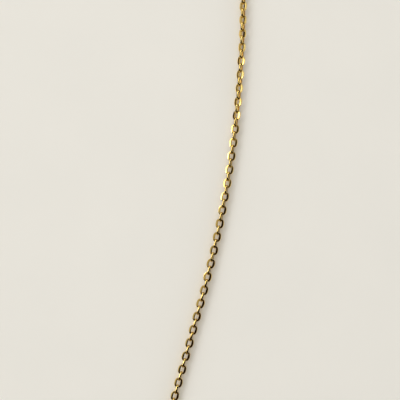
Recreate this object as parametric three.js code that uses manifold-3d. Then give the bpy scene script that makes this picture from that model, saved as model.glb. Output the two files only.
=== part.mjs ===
// A fine gold cable chain necklace, laid flat as a closed loop, with a plain S hook at the nape.
// Millimetres, +Z up. The origin lies on the resting surface, under the middle of the loop.

import * as THREE from 'three';
import { mergeVertices } from 'three/addons/utils/BufferGeometryUtils.js';
import Module from 'manifold-3d';

const wasm = await Module();
wasm.setup();

const { degToRad, inverseLerp, lerp } = THREE.MathUtils;
const QUARTER_TURN = Math.PI / 2;

// Chain: oval links of pressed wire, each about a quarter turn from the one before it
const PITCH = 1.25; // from the centre of one link to the centre of the next
const LINK_WIDTH = 1.6; // across the outside of a link
const SIDE_WIRE = 0.5; // width of the wire along a link's sides
const END_WIRE = 0.33; // width of the wire at its ends
const WIRE_THICKNESS = 0.42;
const SHOULDER = 0.35; // how much fuller than an ellipse a link is at its shoulders
const LINK_COUNT = 361; // odd, so that both end links stand upright in the hook
const WIRE_LAP = 0.03; // how far two linked wires sink into each other where they bear
const LINK_SIDES = 10;
const WIRE_SIDES = 5;

// Stretch that is made link by link; the rest of the loop is a plain round run on each side of it
const FIRST_OPEN_LINK = 60;
const LAST_OPEN_LINK = 124;
const RUN_SIDES = 8;
const RUN_STEP = 5.5;
const MEETING_GAP = 0.3; // between the open links and the end of a plain run

// Loop: a half circle at the nape, then on each side a long flat arc, a straight run and half of the front
const HALF_WIDTH = 50.4;
const FLANK_RADIUS = 212;
const FLANK_TURN = degToRad(15.5);

// Twist of the chain along its length: how far the outer side of a flat link is raised, in degrees
const TWIST = [
  { along: 0, roll: 0 },
  { along: 76, roll: 42 },
  { along: 90, roll: 42 },
  { along: 93, roll: 36 },
  { along: 101, roll: 36 },
  { along: 104.5, roll: 14 },
  { along: 115, roll: 14 },
  { along: 118, roll: 10 },
  { along: 120.5, roll: 6 },
  { along: 137.5, roll: 6 },
  { along: 140.5, roll: 2 },
  { along: 156, roll: 2 },
  { along: 460, roll: 0 },
];

// Lean of the standing links along its length: how far past upright they have settled, in degrees
const LEAN = [
  { along: 0, roll: 0 },
  { along: 12, roll: 12 },
  { along: 76, roll: 20 },
  { along: 102, roll: 20 },
  { along: 105, roll: 10 },
  { along: 130, roll: 10 },
  { along: 132.5, roll: 0 },
  { along: 156, roll: 0 },
  { along: 170, roll: 12 },
  { along: 445, roll: 12 },
  { along: 460, roll: 0 },
];

// S hook: two round eyes of wire that are bent opposite ways
const EYE_RADIUS = 1.48; // to the middle of the wire
const EYE_TURN = degToRad(308);
const HOOK_WIRE = 0.48;
const HOOK_SIDES = 8;
const HOOK_STEPS = 44;
const HOOK_CLEARANCE = 0.1; // between the hook and the end link that it holds

// Sizes that follow from these
const LINK_LENGTH = PITCH + 2 * END_WIRE - WIRE_LAP;
const LINK_HOLE = LINK_LENGTH - 2 * END_WIRE;
const HOLE_WIDTH = LINK_WIDTH - 2 * SIDE_WIRE;
const LINK_REST = LINK_WIDTH / 2; // height of the middle of an upright link
const FIRST_LINK = 2 * EYE_RADIUS - HOOK_WIRE / 2 - HOOK_CLEARANCE + LINK_HOLE / 2;
const LOOP_LENGTH = 2 * FIRST_LINK + (LINK_COUNT - 1) * PITCH;

// Straight run and front arc that close the loop: half its length and half its width fix the two
const frontTurn = QUARTER_TURN - FLANK_TURN;
const restOfHalf = LOOP_LENGTH / 2 - HALF_WIDTH * QUARTER_TURN - FLANK_RADIUS * FLANK_TURN;
const restOfWidth = HALF_WIDTH - FLANK_RADIUS * (1 - Math.cos(FLANK_TURN));
const frontRadius = (restOfWidth - restOfHalf * Math.sin(FLANK_TURN))
  / (Math.cos(FLANK_TURN) - frontTurn * Math.sin(FLANK_TURN));
const straightRun = restOfHalf - frontTurn * frontRadius;

// Outline of the loop, clockwise from the middle of the nape
const OUTLINE = [
  { length: HALF_WIDTH * QUARTER_TURN, turn: QUARTER_TURN },
  { length: FLANK_RADIUS * FLANK_TURN, turn: FLANK_TURN },
  { length: straightRun, turn: 0 },
  { length: 2 * frontRadius * frontTurn, turn: 2 * frontTurn },
  { length: straightRun, turn: 0 },
  { length: FLANK_RADIUS * FLANK_TURN, turn: FLANK_TURN },
  { length: HALF_WIDTH * QUARTER_TURN, turn: QUARTER_TURN },
];

// Place and heading at a distance along the loop, from the middle of the nape at x 0, y 0
function outlineAt(along) {
  let [x, y, heading, left] = [0, 0, 0, along];
  for (const { length, turn } of OUTLINE) {
    const part = Math.min(left, length);
    const bend = turn / length;
    const after = heading - bend * part;
    x += bend ? (Math.sin(heading) - Math.sin(after)) / bend : part * Math.cos(heading);
    y += bend ? (Math.cos(after) - Math.cos(heading)) / bend : part * Math.sin(heading);
    heading = after;
    left -= part;
    if (left <= 0) break;
  }
  return { x, y, heading };
}

// The hook stands out furthest at the nape and the chain at the front, and the middle of the two is y 0
const loopDrop = -outlineAt(LOOP_LENGTH / 2).y;
const napeY = (loopDrop + LINK_WIDTH / 2 - EYE_RADIUS - HOOK_WIRE / 2) / 2;

// Roll at a distance along the loop, read between the rows of a table
function rollAt(table, along) {
  const after = table.findIndex((row) => row.along >= along);
  const [from, to] = [table[Math.max(after - 1, 0)], table[after]];
  return degToRad(lerp(from.roll, to.roll, inverseLerp(from.along, to.along, along)));
}

function gold(roughness) {
  return new THREE.MeshStandardMaterial({ color: 0xd9a441, metalness: 1, roughness });
}

function named(name, geometry, material) {
  const mesh = new THREE.Mesh(geometry, material);
  mesh.name = name;
  return mesh;
}

// A three.js geometry as a closed solid that can be joined to others
function solidOf(geometry) {
  const bare = geometry.clone().deleteAttribute('normal').deleteAttribute('uv');
  const { attributes, index } = mergeVertices(bare);
  return new wasm.Manifold(new wasm.Mesh({
    numProp: 3,
    vertProperties: new Float32Array(attributes.position.array),
    triVerts: new Uint32Array(index.array),
  }));
}

function joined(geometries) {
  const body = geometries.map(solidOf).reduce((whole, piece) => whole.add(piece));
  const { vertProperties, triVerts } = body.getMesh();
  const geometry = new THREE.BufferGeometry();
  geometry.setAttribute('position', new THREE.BufferAttribute(vertProperties, 3));
  geometry.setIndex(new THREE.BufferAttribute(triVerts, 1));
  geometry.computeVertexNormals();
  return geometry;
}

// A round section with a flat below, measured across its flats
function wireSection(thickness, sides) {
  const corner = thickness / 2 / Math.cos(Math.PI / sides);
  const corners = Array.from({ length: sides }, (_, side) => {
    const angle = (side + 0.5) * 2 * Math.PI / sides;
    return new THREE.Vector2(corner * Math.cos(angle), corner * Math.sin(angle));
  });
  return new THREE.Shape(corners);
}

// One link along X: wire between an inner and an outer oval, wide along its sides and narrow at its ends
function linkGeometry() {
  const section = Array.from({ length: WIRE_SIDES + 1 }, (_, side) => {
    const angle = Math.PI * (1 + 2 * side / WIRE_SIDES);
    return new THREE.Vector2(2 + Math.cos(angle), Math.sin(angle));
  });
  const outermost = Math.max(...section.map((corner) => corner.x));
  const ring = new THREE.LatheGeometry(section, LINK_SIDES).rotateX(QUARTER_TURN).rotateZ(QUARTER_TURN);
  const { position } = ring.attributes;
  for (let i = 0; i < position.count; i += 1) {
    const radius = Math.hypot(position.getX(i), position.getY(i));
    const across = inverseLerp(1, outermost, radius);
    const cosine = position.getX(i) / radius;
    const sine = position.getY(i) / radius;
    position.setX(i, lerp(LINK_HOLE, LINK_LENGTH, across) * cosine);
    position.setY(i, lerp(HOLE_WIDTH, LINK_WIDTH, across) * sine * (1 + SHOULDER * cosine ** 2));
  }
  ring.computeBoundingBox();
  const size = ring.boundingBox.getSize(new THREE.Vector3());
  return ring.scale(LINK_LENGTH / size.x, LINK_WIDTH / size.y, WIRE_THICKNESS / size.z);
}

const linkAlong = (number) => FIRST_LINK + number * PITCH;

// How far a link at this roll reaches below its centre
function reachBelow(roll) {
  const rolled = linkGeometry().rotateX(roll);
  rolled.computeBoundingBox();
  return -rolled.boundingBox.min.z;
}

// A link in its place on the loop: even links stand and lean, odd ones lie and turn with the twist.
// The chain rests on whichever of the two reaches lower.
function placedLink(number) {
  const along = linkAlong(number);
  const { x, y, heading } = outlineAt(along);
  const standing = QUARTER_TURN + rollAt(LEAN, along);
  const lying = rollAt(TWIST, along);
  const height = Math.max(reachBelow(standing), reachBelow(lying));
  const place = new THREE.Matrix4().makeTranslation(x, y, height)
    .multiply(new THREE.Matrix4().makeRotationZ(heading))
    .multiply(new THREE.Matrix4().makeRotationX(number % 2 === 0 ? standing : lying));
  return linkGeometry().applyMatrix4(place);
}

function openLinks() {
  const count = LAST_OPEN_LINK - FIRST_OPEN_LINK + 1;
  return joined(Array.from({ length: count }, (_, i) => placedLink(FIRST_OPEN_LINK + i)));
}

// The middle line of a plain run of chain, from one distance along the loop to another
class ChainRun extends THREE.Curve {
  constructor(start, end) {
    super();
    this.start = start;
    this.end = end;
  }

  getPoint(t, target = new THREE.Vector3()) {
    const { x, y } = outlineAt(lerp(this.start, this.end, t));
    return target.set(x, y, LINK_REST);
  }
}

// A plain run of chain, with the link at its end that hangs in the hook
function plainRun(start, end, endLink) {
  const run = new THREE.ExtrudeGeometry(wireSection(LINK_WIDTH, RUN_SIDES), {
    steps: Math.round((end - start) / RUN_STEP),
    bevelEnabled: false,
    extrudePath: new ChainRun(start, end),
  });
  return joined([run, placedLink(endLink)]);
}

// The middle line of the S hook, from the tip of one eye through the middle to the tip of the other
class HookLine extends THREE.Curve {
  getPoint(t, target = new THREE.Vector3()) {
    const turned = (2 * t - 1) * EYE_TURN;
    const side = turned < 0 ? 1 : -1;
    const angle = side > 0 ? Math.PI + turned : -turned;
    return target.set(EYE_RADIUS * (side + Math.cos(angle)), EYE_RADIUS * Math.sin(angle), 0);
  }
}

function hookGeometry() {
  return new THREE.ExtrudeGeometry(wireSection(HOOK_WIRE, HOOK_SIDES), {
    steps: HOOK_STEPS,
    bevelEnabled: false,
    extrudePath: new HookLine(),
  });
}

// Where the plain runs begin and end along the loop
const hookEnd = FIRST_LINK + LINK_LENGTH / 2 - END_WIRE / 2;
const openStart = linkAlong(FIRST_OPEN_LINK) - LINK_LENGTH / 2 - MEETING_GAP;
const openEnd = linkAlong(LAST_OPEN_LINK) + LINK_LENGTH / 2 + MEETING_GAP;

const chain = new THREE.Group();
chain.add(
  named('chain_links', openLinks(), gold(0.15)),
  named('chain_run_right', plainRun(hookEnd, openStart, 0), gold(0.2)),
  named('chain_run_left', plainRun(openEnd, LOOP_LENGTH - hookEnd, LINK_COUNT - 1), gold(0.2)),
);

const hook = named('clasp_hook', hookGeometry(), gold(0.2));
hook.position.z = LINK_REST;

const necklace = new THREE.Group();
necklace.add(chain, hook);
necklace.position.y = napeY;

export default necklace;
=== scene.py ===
# %% [markdown]
# # A fine gold cable chain necklace
#
# The object is a plain cable chain: small oval links of gold wire, each a quarter turn from the one before it.
# It lies on a pale surface as one closed loop, and a small S hook joins its two ends at the nape. The packed
# solids give its size and its place. This lesson makes every link, the hook and their polish.

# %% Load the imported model
import math

import bpy
import numpy as np
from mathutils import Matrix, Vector


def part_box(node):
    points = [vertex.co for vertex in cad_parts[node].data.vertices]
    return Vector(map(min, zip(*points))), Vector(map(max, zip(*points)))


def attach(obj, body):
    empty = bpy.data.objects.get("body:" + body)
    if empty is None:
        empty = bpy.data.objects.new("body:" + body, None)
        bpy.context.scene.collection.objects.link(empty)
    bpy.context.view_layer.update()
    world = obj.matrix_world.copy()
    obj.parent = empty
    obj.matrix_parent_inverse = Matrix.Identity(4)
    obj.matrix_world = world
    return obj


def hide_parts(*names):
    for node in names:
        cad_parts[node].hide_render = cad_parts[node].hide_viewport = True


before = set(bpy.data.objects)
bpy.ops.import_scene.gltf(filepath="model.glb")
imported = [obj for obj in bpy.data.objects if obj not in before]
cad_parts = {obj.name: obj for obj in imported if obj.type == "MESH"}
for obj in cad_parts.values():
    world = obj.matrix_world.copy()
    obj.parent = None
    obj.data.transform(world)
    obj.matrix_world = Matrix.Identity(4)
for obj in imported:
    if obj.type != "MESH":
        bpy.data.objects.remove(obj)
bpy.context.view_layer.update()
print("solids:", sorted(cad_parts))

# %% [markdown]
# ## Driving sizes
#
# A chainmaker states a cable chain by its wire, the width of a link and the pitch, which is the step from one
# link to the next. The same few sizes drove the solids, so they are repeated here in millimetres, and only
# the place of the nape is read from the frame: it is the middle of the hook.

# %% Sizes of the chain, the loop and the hook
MM = 0.001
LINK_WIDTH = 1.6
SIDE_WIRE = 0.50  # width of the pressed wire along a link's sides
END_WIRE = 0.33  # and at its ends
WIRE_THICKNESS = 0.42
PITCH = 1.25
LINK_COUNT = 361
WIRE_LAP = 0.03  # how far the solid links sink into each other, which sets where the first one sits
HALF_WIDTH = 50.4  # of the loop, and the radius of its half circle at the nape
FLANK_RADIUS = 212.0  # of the long flat arc on each side
FLANK_TURN = math.radians(15.5)
EYE_RADIUS = 1.48
EYE_TURN = math.radians(308)
HOOK_WIRE = 0.48
HOOK_CLEARANCE = 0.1

FIRST_LINK = 2 * EYE_RADIUS - HOOK_WIRE / 2 - HOOK_CLEARANCE + (PITCH - WIRE_LAP) / 2
LOOP_LENGTH = 2 * FIRST_LINK + (LINK_COUNT - 1) * PITCH
hook_low, hook_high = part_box("clasp_hook")
hook_middle = (hook_low + hook_high) / 2 / MM
print(f"loop {LOOP_LENGTH:.1f} mm long, hook at y {hook_middle.y:.2f} mm")

# %% [markdown]
# ## The line of the loop
#
# The chain falls in arcs and straight runs: a half circle at the nape, a long flat arc and a straight run on
# each side, and one tight arc at the front. It could be a drawn curve, but arcs have an exact formula. The
# step across an arc is its length times sin(half turn) / half turn, taken along the mean heading, and the same
# words hold for a straight run, where the turn is nothing. So one function serves every run, and whole arrays
# of links.

# %% Place and heading at any distance along the loop
front_turn = math.pi / 2 - FLANK_TURN
rest_of_half = LOOP_LENGTH / 2 - HALF_WIDTH * math.pi / 2 - FLANK_RADIUS * FLANK_TURN
rest_of_width = HALF_WIDTH - FLANK_RADIUS * (1 - math.cos(FLANK_TURN))
front_radius = (rest_of_width - rest_of_half * math.sin(FLANK_TURN)) / (
    math.cos(FLANK_TURN) - front_turn * math.sin(FLANK_TURN)
)
straight_run = rest_of_half - front_turn * front_radius

half_lengths = [HALF_WIDTH * math.pi / 2, FLANK_RADIUS * FLANK_TURN, straight_run, front_radius * front_turn]
half_turns = [math.pi / 2, FLANK_TURN, 0, front_turn]
run_length = np.array(half_lengths + half_lengths[::-1])
run_turn = np.array(half_turns + half_turns[::-1])


def running_total(steps):
    """Where each step starts, and where the last one ends."""
    return np.concatenate([[0], np.cumsum(steps)])


def arc_step(length, turn, heading):
    """The step across a clockwise arc: length sin(turn / 2) / (turn / 2), along its mean heading."""
    step = length * np.sinc(turn / 2 / np.pi)
    middle = heading - turn / 2
    return step * np.cos(middle), step * np.sin(middle)


run_start = running_total(run_length)
run_heading = -running_total(run_turn)
run_x, run_y = (running_total(step) for step in arc_step(run_length, run_turn, run_heading[:-1]))


def loop_at(along):
    """Place and heading on the loop: the start of the run that holds the distance, and a part arc on."""
    run = np.clip(np.searchsorted(run_start, along, side="right") - 1, 0, len(run_length) - 1)
    part = along - run_start[run]
    turn = run_turn[run] * part / run_length[run]
    step_x, step_y = arc_step(part, turn, run_heading[run])
    return run_x[run] + step_x, run_y[run] + step_y + hook_middle.y, run_heading[run] - turn


print(f"front arc {front_radius:.1f} mm, straight run {straight_run:.1f} mm")
print(f"the loop closes within {abs(run_x[-1]):.1e} mm")

# %% [markdown]
# ## One link
#
# A link of this chain is a ring of wire that has been pressed and polished. It is wide along its sides and
# narrow at its ends, and its two broad faces end in a crisp edge. The faces are what makes the chain sparkle:
# each one is a small mirror, crowned a little, so that it catches a lamp in a narrow band. At a link's ends
# they are narrower, because the wire is rounder inside where it seats in the next link. The ring could be a
# torus, but a torus has no faces and its wire is even. So the wire lies between two ovals instead, and its
# section is eight points on the way from the inner oval to the outer one. The grid is coarse, because it is
# repeated hundreds of times. A Subdivision modifier rounds it, and creases along the four edges of the faces
# keep those crisp.

# %% The wire's section and the two ovals that it lies between
RING_STEPS = 12
FACE_INNER = 0.04  # where a face begins and ends, from the inner edge of the wire to the outer
FACE_OUTER = 0.84
END_FACE_INNER = 0.45  # where it begins at a link's ends
END_POWER = 3  # the ends give way to the sides as this power of |cos u|
INNER_LEAN = math.radians(3)  # how far the inner and the outer half of a face lean outwards
OUTER_LEAN = math.radians(12)
SHOULDER = 0.35  # how much fuller than an ellipse the ovals are at their shoulders
LINK_LENGTH = PITCH + 2 * END_WIRE
FACE_EDGES = [1, 3, 5, 7]  # the points of the section on the edges of its faces


def wire_section(end_share):
    """Eight points (outwards from 0 to 1, up) round the wire: one on each side, three across each face."""
    face_inner = FACE_INNER + (END_FACE_INNER - FACE_INNER) * end_share
    half_face = (FACE_OUTER - face_inner) / 2
    top = WIRE_THICKNESS / 2
    upper = np.array([
        [FACE_OUTER, top - half_face * SIDE_WIRE * math.tan(OUTER_LEAN)],
        [face_inner + half_face, top],
        [face_inner, top + half_face * SIDE_WIRE * math.tan(INNER_LEAN)],
    ])
    return np.concatenate([[[1, 0]], upper, [[0, 0]], upper[::-1] * [1, -1]])


def oval(u, half_length, half_width):
    """Points (a cos u, b sin u (1 + f cos^2 u)) of an oval that is fuller than an ellipse."""
    fuller = 1 + SHOULDER * np.cos(u) ** 2
    return np.stack([half_length * np.cos(u), half_width * np.sin(u) * fuller], -1)


ring_angle = np.arange(RING_STEPS) * 2 * np.pi / RING_STEPS
ring_end_share = np.abs(np.cos(ring_angle)) ** END_POWER
ring_sections = np.stack([wire_section(share) for share in ring_end_share])


def link_grid():
    """A closed ring of wire along x, as a surface of two parameters.

    The first runs round two ovals, the ring's inner and outer edge, and the second round the section, whose
    points lie part of the way from the one oval to the other, and so far up. The modifier moves a point to
    3/4 of itself and 1/8 of each neighbour along the ring, so the ring is made larger by what that takes off.
    """
    outer = oval(ring_angle, LINK_LENGTH / 2, LINK_WIDTH / 2)
    inner = oval(ring_angle, LINK_LENGTH / 2 - END_WIRE, LINK_WIDTH / 2 - SIDE_WIRE)
    rounded = outer * 3 / 4 + (np.roll(outer, 1, axis=0) + np.roll(outer, -1, axis=0)) / 8
    larger = outer.max(axis=0) / rounded.max(axis=0)
    across, up = np.split(ring_sections, 2, axis=-1)
    flat = (inner[:, None] + (outer - inner)[:, None] * across) * larger
    return np.concatenate([flat, up], -1)


link = link_grid()
print(f"one link: {link.shape[0] * link.shape[1]} faces before rounding")

# %% [markdown]
# ## The fall of the links
#
# Odd links lie and even links stand, as in every cable chain, but neither quite does. The lying links follow a
# slow twist of the chain, which is why some show the light on their left side, some on their right, and some
# on neither, and most of the standing ones have settled past upright. Two short tables hold these angles along
# the loop, and each link also sits a hair out of line, from a seeded random draw. One array operation rolls,
# turns and places every link of a stretch, and none reaches below the surface.

# %% Roll, heading and height of every link
TWIST_ALONG = [0, 76, 90, 93, 101, 104.5, 115, 118, 120.5, 137.5, 140.5, 156, 460]
TWIST_ROLL = np.radians([0, 42, 42, 36, 36, 14, 14, 10, 6, 6, 2, 2, 0])
LEAN_ALONG = [0, 12, 76, 102, 105, 130, 132.5, 156, 170, 445, 460]
LEAN_ROLL = np.radians([0, 12, 20, 20, 10, 10, 0, 0, 12, 12, 0])
LOOSE_ROLL = math.radians(1.6)
LOOSE_TURN = math.radians(1.2)
CHAIN_SEED = 7

numbers = np.arange(LINK_COUNT)
along = FIRST_LINK + numbers * PITCH
draw = np.random.default_rng(CHAIN_SEED)
loose_roll = draw.normal(0, LOOSE_ROLL, LINK_COUNT)
loose_turn = draw.normal(0, LOOSE_TURN, LINK_COUNT)
tone = draw.uniform(0, 1, LINK_COUNT)


def reach_below(roll):
    """How far a link at each roll reaches below its middle: the largest of -(y sin + z cos) on it."""
    y, z = link[..., 1].ravel(), link[..., 2].ravel()
    return np.max(-(np.sin(roll)[:, None] * y + np.cos(roll)[:, None] * z), axis=1)


twist = np.interp(along, TWIST_ALONG, TWIST_ROLL)
upright = np.pi / 2 + np.interp(along, LEAN_ALONG, LEAN_ROLL)
settled = np.where(numbers % 2 == 0, upright, twist)
roll = settled + loose_roll
rest = np.maximum(reach_below(twist), reach_below(upright))
height = np.maximum(rest, reach_below(roll))
print(f"links lie {height.min():.2f} to {height.max():.2f} mm high at the middle")

# %% Place the links of a stretch


def placed_links(first, last):
    """Points of every link of a stretch, shaped (links, ring, section, 3).

    A link is rolled about x, turned to its heading about z, and moved to its place on the loop.
    """
    chosen = slice(first, last + 1)
    x, y, heading = (value[:, None, None] for value in loop_at(along[chosen]))
    heading = heading + loose_turn[chosen, None, None]
    lean = roll[chosen, None, None]
    out = link[..., 1] * np.cos(lean) - link[..., 2] * np.sin(lean)
    up = link[..., 1] * np.sin(lean) + link[..., 2] * np.cos(lean)
    return np.stack([
        x + link[..., 0] * np.cos(heading) - out * np.sin(heading),
        y + link[..., 0] * np.sin(heading) + out * np.cos(heading),
        height[chosen, None, None] + up,
    ], -1)


# %% [markdown]
# ## From arrays to a mesh
#
# Every link's grid closes both ways, so a face joins each point to the next along the ring and round the wire,
# counted past the end back to the start. Named attributes go with the points: a tone for each link, how deep a
# point sits in the hole or where two links bear on each other, whether it belongs to a broad face, and whether
# it is on that face's edge. The materials read them.

# %% Build a stretch of chain as one piece
HOLE_RECESS = 0.35  # how much of the recess is the hole's, and how fast that fades outwards
HOLE_FADE = 2
BEARING_RECESS = 0.65  # and how much is where two links bear
BEARING_FADE = 0.6
ROUNDED_TRIANGLES = 8  # what the modifier makes of one face


def set_attribute(mesh, name, kind, domain, values):
    attribute = mesh.attributes.new(name, kind, domain)
    attribute.data.foreach_set("value", np.ascontiguousarray(values).ravel())


def grid_faces(rings, sides):
    """Four corners of each face of one grid that closes both ways."""
    ring, side = np.meshgrid(np.arange(rings), np.arange(sides), indexing="ij")
    next_ring, next_side = (ring + 1) % rings, (side + 1) % sides
    corners = [(ring, side), (next_ring, side), (next_ring, next_side), (ring, next_side)]
    return np.stack([r * sides + s for r, s in corners], -1).reshape(-1, 4)


def chain_piece(name, first, last):
    """One mesh of the links of a stretch, with its attributes, its creases and its rounding."""
    points = placed_links(first, last)
    count, rings, sides, _ = points.shape
    starts = np.arange(count)[:, None, None] * rings * sides
    faces = (grid_faces(rings, sides)[None] + starts).reshape(-1, 4)
    mesh = bpy.data.meshes.new(name)
    mesh.from_pydata(points.reshape(-1, 3) * MM, [], faces.tolist())
    mesh.shade_smooth()

    ends = np.empty(2 * len(mesh.edges), dtype=np.int32)
    mesh.edges.foreach_get("vertices", ends)
    side = ends.reshape(-1, 2) % sides
    along_face = (side[:, 0] == side[:, 1]) & np.isin(side[:, 0], FACE_EDGES)
    set_attribute(mesh, "sharp_edge", "BOOLEAN", "EDGE", along_face)
    set_attribute(mesh, "crease_edge", "FLOAT", "EDGE", along_face.astype(np.float32))

    # The recess marks the holes and where two links bear, where the gold is painted darker: painted shade, with
    # a little tarnish.
    inside = 1 - ring_sections[..., 0]
    in_hole = HOLE_RECESS * inside ** HOLE_FADE
    at_bearing = BEARING_RECESS * ring_end_share[:, None] * inside ** BEARING_FADE
    point_attributes = {
        "link_tone": tone[first:last + 1, None, None],
        "recess": in_hole + at_bearing,
        "face": np.arange(sides) % 4 > 0,
        "edge": np.isin(np.arange(sides), FACE_EDGES),
    }
    for label, values in point_attributes.items():
        every_point = np.broadcast_to(values, (count, rings, sides))
        set_attribute(mesh, label, "FLOAT", "POINT", every_point.astype(np.float32))

    piece = bpy.data.objects.new(name, mesh)
    bpy.context.collection.objects.link(piece)
    rounding = piece.modifiers.new("rounding", "SUBSURF")
    rounding.levels = rounding.render_levels = 1
    print(f"{name}: {count} links, {len(faces) * ROUNDED_TRIANGLES} triangles when rounded")
    return piece


# %% [markdown]
# ## Three stretches
#
# The solids hold the chain as three nodes: the stretch with open links, and a plain run to each side of it
# that stands for links too many to cut as solids. Each stretch of links here takes the place of one node.

# %% Links in place of the chain's three nodes
FIRST_OPEN_LINK = 60
LAST_OPEN_LINK = 124

stretches = {
    "chain_links": (FIRST_OPEN_LINK, LAST_OPEN_LINK),
    "chain_run_right": (0, FIRST_OPEN_LINK - 1),
    "chain_run_left": (LAST_OPEN_LINK + 1, LINK_COUNT - 1),
}
chain_pieces = []
for node, (first, last) in stretches.items():
    piece = chain_piece(f"links_{first}_to_{last}", first, last)
    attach(piece, "root")
    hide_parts(node)
    chain_pieces.append(piece)

# %% [markdown]
# ## The S hook
#
# The simplest clasp is a piece of thicker wire bent into an S, and its two open eyes take the end links. It is
# a round section carried along two arcs. The wire's tips are rounded, as a jeweller files them, by letting the
# section shrink over the last half thickness: at angle t of the rounding its radius is r sin t, and it stands
# r (1 - cos t) from the tip.

# %% Sweep the hook's wire
TIP_RINGS = 6
WIRE_RINGS = 120
HOOK_SIDES = 20


def hook_line(turned):
    """Points and directions on the S, from the angle turned from its middle: two circles that meet there."""
    side = np.where(turned < 0, 1, -1)
    angle = np.where(turned < 0, np.pi + turned, -turned)
    point = np.stack([EYE_RADIUS * (side + np.cos(angle)), EYE_RADIUS * np.sin(angle)], -1)
    direction = np.stack([-np.sin(angle), np.cos(angle)], -1) * side[:, None]
    return point, direction


def hook_piece(name):
    """A tube along the S whose rings shrink to a point at each tip."""
    radius = HOOK_WIRE / 2
    tip = np.linspace(0, np.pi / 2, TIP_RINGS, endpoint=False)[1:]
    half_length = EYE_RADIUS * EYE_TURN
    end = half_length - radius
    distance = np.concatenate([
        -end - radius * np.cos(tip),
        np.linspace(-end, end, WIRE_RINGS),
        end + radius * np.cos(tip[::-1]),
    ])
    size = radius * np.concatenate([np.sin(tip), np.ones(WIRE_RINGS), np.sin(tip[::-1])])
    point, direction = hook_line(distance / EYE_RADIUS)
    across = np.stack([direction[:, 1], -direction[:, 0]], -1)
    turn = np.arange(HOOK_SIDES) * 2 * np.pi / HOOK_SIDES
    flat = point[:, None] + across[:, None] * (size[:, None] * np.cos(turn))[..., None]
    rise = size[:, None] * np.sin(turn)
    tube = np.concatenate([flat, rise[..., None]], -1).reshape(-1, 3)
    tips, _ = hook_line(np.array([-half_length, half_length]) / EYE_RADIUS)
    points = np.concatenate([tube, np.column_stack([tips, np.zeros(2)])])
    points += [hook_middle.x, hook_middle.y, hook_middle.z]

    rings = len(distance)
    last = (rings - 1) * HOOK_SIDES
    walls = grid_faces(rings, HOOK_SIDES)[:last]
    side = np.arange(HOOK_SIDES)
    beside = (side + 1) % HOOK_SIDES
    start_cap = np.column_stack([np.full(HOOK_SIDES, len(tube)), side, beside])
    end_cap = np.column_stack([np.full(HOOK_SIDES, len(tube) + 1), last + beside, last + side])
    mesh = bpy.data.meshes.new(name)
    mesh.from_pydata(points * MM, [], walls.tolist() + start_cap.tolist() + end_cap.tolist())
    mesh.shade_smooth()
    piece = bpy.data.objects.new(name, mesh)
    bpy.context.collection.objects.link(piece)
    return piece


hook = hook_piece("s_hook")
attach(hook, "root")
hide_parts("clasp_hook")
print(f"hook: {len(hook.data.polygons)} faces from {EYE_TURN * 2 * EYE_RADIUS:.1f} mm of wire")

# %% [markdown]
# ## Polished gold
#
# Polished gold is nearly a mirror, so most of what is seen on it is the room. What is its own is small: links
# that are a shade redder or paler than their neighbours, edges that wear has left paler and a little duller,
# faces that are smoother than the round sides, and hairline scratches. To these comes a dark brown painted into
# the holes and where two links bear, a little rougher there: painted shade, with a little tarnish in it. More
# than one material needs these, so they are one node group with its own inputs, and each material gives it its
# own values.

# %% Helpers that add nodes to a tree


def add_socket(group, name, kind, direction, value=None):
    socket = group.interface.new_socket(name, in_out=direction, socket_type=kind)
    if value is not None:
        socket.default_value = value


def new_node(tree, kind, **settings):
    node = tree.nodes.new(kind)
    for name, value in settings.items():
        setattr(node, name, value)
    return node


def feed(tree, socket, value):
    """Give an input its value: a link from another socket, or else a plain number or colour."""
    if isinstance(value, (int, float, tuple)):
        socket.default_value = value
    else:
        tree.links.new(value, socket)


def mixed(tree, factor, first, second):
    """A Mix node of two colours, whose first input is the factor and whose colours are inputs 6 and 7."""
    node = new_node(tree, "ShaderNodeMix", data_type="RGBA")
    for socket, value in [(0, factor), (6, first), (7, second)]:
        feed(tree, node.inputs[socket], value)
    return node.outputs[2]


def ranged(tree, value, span, onto):
    """A Map Range node from one pair of ends onto another."""
    node = new_node(tree, "ShaderNodeMapRange")
    for socket, end in zip(node.inputs, [value, *span, *onto]):
        feed(tree, socket, end)
    return node.outputs[0]


def combined(tree, operation, first, second):
    """A Math node of two values."""
    node = new_node(tree, "ShaderNodeMath", operation=operation)
    for socket, value in zip(node.inputs, [first, second]):
        feed(tree, socket, value)
    return node.outputs[0]


def noise(tree, place, scale, detail):
    node = new_node(tree, "ShaderNodeTexNoise")
    tree.links.new(place, node.inputs["Vector"])
    node.inputs["Scale"].default_value = scale
    node.inputs["Detail"].default_value = detail
    return node.outputs["Fac"]


# %% A node group for the polish
DRIFT_SCALE, DRIFT_DETAIL = 700.0, 2.0
SMEAR_SCALE, SMEAR_DETAIL = 2600.0, 3.0
SCRATCH_SCALE, SCRATCH_DETAIL = 5200.0, 4.0
SCRATCH_STRETCH = (1.0, 0.16, 0.5)
SCRATCH_TURN = (0.3, 0.2, 0.5)
ALLOY_SPAN = (0.3, 1.7)  # tone and drift together, from red gold to pale
# The recess darkening is painted shade with a little tarnish in it.
DARKENING_SMEAR, DARKENING_SHARE = (0.3, 0.7), (0.5, 1.0)  # how the smears break up the tarnish
EDGE_SPAN = (0.55, 1.0)  # how near to an edge the wear begins
WEAR_SMEAR, WEAR_SHARE = (0.4, 0.6), (0.2, 0.9)  # and how the smears break it up
HAZE_SMEAR, HAZE = (0.35, 0.75), (0.0, 0.03)  # what the smears, tarnish and wear add to the roughness
RECESS_ROUGHNESS = 0.25
WEAR_ROUGHNESS = 0.06
WHOLE = (0.0, 1.0)


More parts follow.
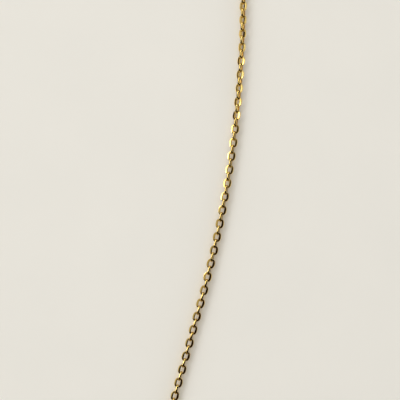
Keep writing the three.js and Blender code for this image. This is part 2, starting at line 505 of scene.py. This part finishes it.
def gold_polish_group():
    """Colour with painted shade in the recesses, roughness and a scratch height for polished gold."""
    group = bpy.data.node_groups.new("gold_polish", "ShaderNodeTree")
    add_socket(group, "Pale", "NodeSocketColor", "INPUT", (1, 1, 1, 1))
    add_socket(group, "Red", "NodeSocketColor", "INPUT", (1, 1, 1, 1))
    add_socket(group, "ShadeAndTarnish", "NodeSocketColor", "INPUT", (0, 0, 0, 1))
    for name in ["Tone", "Recess", "Face", "Edge", "Smooth", "Worn"]:
        add_socket(group, name, "NodeSocketFloat", "INPUT", 0.0)
    add_socket(group, "Color", "NodeSocketColor", "OUTPUT")
    add_socket(group, "Roughness", "NodeSocketFloat", "OUTPUT")
    add_socket(group, "Scratches", "NodeSocketFloat", "OUTPUT")

    given = new_node(group, "NodeGroupInput").outputs
    result = new_node(group, "NodeGroupOutput").inputs
    place = new_node(group, "ShaderNodeTexCoord").outputs["Object"]
    stretch = new_node(group, "ShaderNodeMapping")
    group.links.new(place, stretch.inputs["Vector"])
    stretch.inputs["Scale"].default_value = SCRATCH_STRETCH
    stretch.inputs["Rotation"].default_value = SCRATCH_TURN

    drift = noise(group, place, DRIFT_SCALE, DRIFT_DETAIL)
    smear = noise(group, place, SMEAR_SCALE, SMEAR_DETAIL)
    scratches = noise(group, stretch.outputs[0], SCRATCH_SCALE, SCRATCH_DETAIL)

    shade = ranged(group, combined(group, "ADD", given["Tone"], drift), ALLOY_SPAN, WHOLE)
    alloy = mixed(group, shade, given["Red"], given["Pale"])
    patches = ranged(group, smear, DARKENING_SMEAR, DARKENING_SHARE)
    # The recess is painted towards a dark brown and broken up by the smears: painted shade, with a little
    # tarnish.
    darkening = combined(group, "MULTIPLY", given["Recess"], patches)
    toned = mixed(group, darkening, alloy, given["ShadeAndTarnish"])
    near_edge = ranged(group, given["Edge"], EDGE_SPAN, WHOLE)
    rubbed = combined(group, "MULTIPLY", near_edge, ranged(group, smear, WEAR_SMEAR, WEAR_SHARE))
    group.links.new(mixed(group, rubbed, toned, given["Pale"]), result["Color"])

    roughness = ranged(group, given["Face"], WHOLE, (given["Worn"], given["Smooth"]))
    for more in [
        ranged(group, smear, HAZE_SMEAR, HAZE),
        combined(group, "MULTIPLY", darkening, RECESS_ROUGHNESS),
        combined(group, "MULTIPLY", rubbed, WEAR_ROUGHNESS),
    ]:
        roughness = combined(group, "ADD", roughness, more)
    group.links.new(roughness, result["Roughness"])
    group.links.new(scratches, result["Scratches"])
    return group


gold_polish = gold_polish_group()
print("polish group:", [item.name for item in gold_polish.interface.items_tree])

# %% The chain's gold and the hook's gold
PALE_GOLD = (0.94, 0.71, 0.25, 1)
RED_GOLD = (0.91, 0.63, 0.17, 1)
# The third colour is the dark brown painted into the recesses: painted shade, with a little tarnish.
SHADE_AND_TARNISH = (0.27, 0.11, 0.02, 1)
SCRATCH_DEPTH = 0.002 * MM
SCRATCH_STRENGTH = 0.25


def gold(name, smooth, worn):
    """A polished gold that reads the piece's own attributes, with the roughness of its faces and its sides."""
    material = bpy.data.materials.new(name)
    material.use_nodes = True
    tree = material.node_tree
    shader = tree.nodes["Principled BSDF"]
    shader.inputs["Metallic"].default_value = 1.0
    polish = new_node(tree, "ShaderNodeGroup", node_tree=gold_polish)
    finish = {"Pale": PALE_GOLD, "Red": RED_GOLD, "ShadeAndTarnish": SHADE_AND_TARNISH, "Smooth": smooth, "Worn": worn}
    for socket, value in finish.items():
        polish.inputs[socket].default_value = value
    attributes = {"Tone": "link_tone", "Recess": "recess", "Face": "face", "Edge": "edge"}
    for socket, attribute in attributes.items():
        reader = new_node(tree, "ShaderNodeAttribute", attribute_name=attribute)
        tree.links.new(reader.outputs["Fac"], polish.inputs[socket])
    bump = new_node(tree, "ShaderNodeBump")
    bump.inputs["Strength"].default_value = SCRATCH_STRENGTH
    bump.inputs["Distance"].default_value = SCRATCH_DEPTH
    tree.links.new(polish.outputs["Scratches"], bump.inputs["Height"])
    tree.links.new(polish.outputs["Color"], shader.inputs["Base Color"])
    tree.links.new(polish.outputs["Roughness"], shader.inputs["Roughness"])
    tree.links.new(bump.outputs["Normal"], shader.inputs["Normal"])
    return material


HOOK_ROUGHNESS = 0.16  # all round, because a round wire has no faces
chain_gold = gold("polished_chain_gold", smooth=0.05, worn=0.12)
hook_gold = gold("polished_hook_gold", smooth=HOOK_ROUGHNESS, worn=HOOK_ROUGHNESS)
for piece in chain_pieces:
    piece.data.materials.append(chain_gold)
hook.data.materials.append(hook_gold)

# %% [markdown]
# ## The surface
#
# The chain lies on a smooth cream card. It is not part of the object. A trace of
# mottling keeps it from looking like a flat fill.

# %% A cream card to lie on
CARD_HALF = 0.9
CARD_ROUGHNESS = 0.9
CARD_SHEEN = 0.1
MOTTLE_SCALE, MOTTLE_DETAIL = 60.0, 4.0
CREAM = (0.83, 0.80, 0.725, 1)
PALE_CREAM = (0.87, 0.835, 0.755, 1)

card_mesh = bpy.data.meshes.new("card")
card_corners = np.array([[-1, -1, 0], [1, -1, 0], [1, 1, 0], [-1, 1, 0]]) * CARD_HALF
card_mesh.from_pydata(card_corners, [], [(0, 1, 2, 3)])
card = bpy.data.objects.new("card", card_mesh)
bpy.context.collection.objects.link(card)

card_paint = bpy.data.materials.new("cream_card")
card_paint.use_nodes = True
card_tree = card_paint.node_tree
card_shader = card_tree.nodes["Principled BSDF"]
card_shader.inputs["Roughness"].default_value = CARD_ROUGHNESS
card_shader.inputs["Specular IOR Level"].default_value = CARD_SHEEN
card_place = new_node(card_tree, "ShaderNodeTexCoord").outputs["Object"]
mottle = noise(card_tree, card_place, MOTTLE_SCALE, MOTTLE_DETAIL)
card_tree.links.new(mixed(card_tree, mottle, CREAM, PALE_CREAM), card_shader.inputs["Base Color"])
card_mesh.materials.append(card_paint)

# %% [markdown]
# ## Light
#
# Metal shows its surroundings, so the lamps are placed by the angle at which a face mirrors them. A narrow
# soft box at the left, 39 to 45 degrees from straight up, makes the bright strips. Dimmer glows above it and
# below it make the middle tones, two windows light the upper ends of the links, and a low glow at the right
# lifts their right edges. Straight above it is dark and warm, as under a camera, and the walls are brown. The
# card is lit from all round instead, as in a light tent, and by an overhead light that the metal does not
# mirror. That keeps the shadows wide and pale, and the holes of the links light.

# %% Lamps
VIEW_CENTRE = Vector((42.48, 0.975, 0)) * MM
LAMP_DISTANCE = 1.2


def lamp(name, brightness, nearest, furthest, azimuth, spread):
    """A soft box that faces the middle of the view, between two angles from straight up.

    It reaches so far to each side of its azimuth. A span of angles is as wide as twice the distance times the
    tangent of its half, and the power of an even lamp is its brightness times pi times its area.
    """
    tilt = math.radians(nearest + furthest) / 2
    heading = math.radians(azimuth)
    light = bpy.data.lights.new(name, "AREA")
    light.shape = "RECTANGLE"
    light.size = 2 * LAMP_DISTANCE * math.sin(tilt) * math.tan(math.radians(spread))
    light.size_y = 2 * LAMP_DISTANCE * math.tan(math.radians(furthest - nearest) / 2)
    light.energy = brightness * math.pi * light.size * light.size_y
    place = bpy.data.objects.new(name, light)
    bpy.context.collection.objects.link(place)
    away = Vector((math.sin(tilt) * math.cos(heading), math.sin(tilt) * math.sin(heading), math.cos(tilt)))
    place.location = VIEW_CENTRE + away * LAMP_DISTANCE
    place.rotation_euler = (-away).to_track_quat("-Z", "Y").to_euler()
    place.visible_camera = False
    return place


UPPER_LEFT = 148.0
lamp("left_soft_box", brightness=5.2, nearest=39, furthest=45, azimuth=UPPER_LEFT, spread=45)
lamp("upper_left_glow", brightness=0.45, nearest=16, furthest=39, azimuth=UPPER_LEFT, spread=42)
lamp("low_left_glow", brightness=1.3, nearest=45, furthest=60, azimuth=160, spread=40)
lamp("low_left_window", brightness=0.6, nearest=62, furthest=82, azimuth=138, spread=26)
lamp("right_glow", brightness=0.9, nearest=60, furthest=85, azimuth=0, spread=40)
lamp("far_window", brightness=1.6, nearest=55, furthest=78, azimuth=100, spread=32)
overhead = lamp("overhead", brightness=1.3, nearest=0, furthest=40, azimuth=UPPER_LEFT, spread=20)
overhead.visible_glossy = False

# %% [markdown]
# ## The room and the tent
#
# The background has two faces. A ray that has come off the gold alone meets the dark room, and every other ray,
# such as one that has come off the card, meets the light of the tent. The Light Path node tells them apart.

# %% A room for the gold to mirror, and a tent of light for the card
ROOM_TOP = (0.014, 0.006, 0.002, 1)
ROOM_WALLS = (0.06, 0.033, 0.009, 1)
WALL_TOP = math.radians(40)
WALL_FOOT = math.radians(5)
TENT_GLOW = (0.49, 0.49, 0.49, 1)
HALF_A_BOUNCE = 0.5

room = bpy.data.worlds.new("room")
room.use_nodes = True
bpy.context.scene.world = room
room_tree = room.node_tree
background = room_tree.nodes["Background"]
direction = new_node(room_tree, "ShaderNodeTexCoord").outputs["Generated"]
split = new_node(room_tree, "ShaderNodeSeparateXYZ")
room_tree.links.new(direction, split.inputs[0])
climb = ranged(room_tree, split.outputs["Z"], (math.sin(WALL_FOOT), math.sin(WALL_TOP)), WHOLE)
climb.node.interpolation_type = "SMOOTHSTEP"
mirrored = mixed(room_tree, climb, ROOM_WALLS, ROOM_TOP)
path = new_node(room_tree, "ShaderNodeLightPath").outputs
off_card = combined(room_tree, "GREATER_THAN", path["Diffuse Depth"], HALF_A_BOUNCE)
is_mirrored = combined(room_tree, "SUBTRACT", path["Is Glossy Ray"], off_card)
is_mirrored.node.use_clamp = True
room_tree.links.new(mixed(room_tree, is_mirrored, TENT_GLOW, mirrored), background.inputs["Color"])

# %% [markdown]
# ## The camera
#
# The photograph looks straight down from close by, and its square frame spans about 73 mm of the right side of
# the loop. A long lens at that height keeps the links upright right up to the edges of the frame.

# %% Look straight down on the right side
FRAME_WIDTH = 73.3 * MM
LENS = 120.0
NEAREST_SEEN = 0.005

camera = bpy.data.cameras.new("camera")
camera.lens = LENS
camera.clip_start = NEAREST_SEEN
camera_place = bpy.data.objects.new("camera", camera)
bpy.context.collection.objects.link(camera_place)
camera_place.location = VIEW_CENTRE + Vector((0, 0, FRAME_WIDTH * LENS / camera.sensor_width))
bpy.context.scene.camera = camera_place
bpy.context.scene.view_settings.view_transform = "Standard"
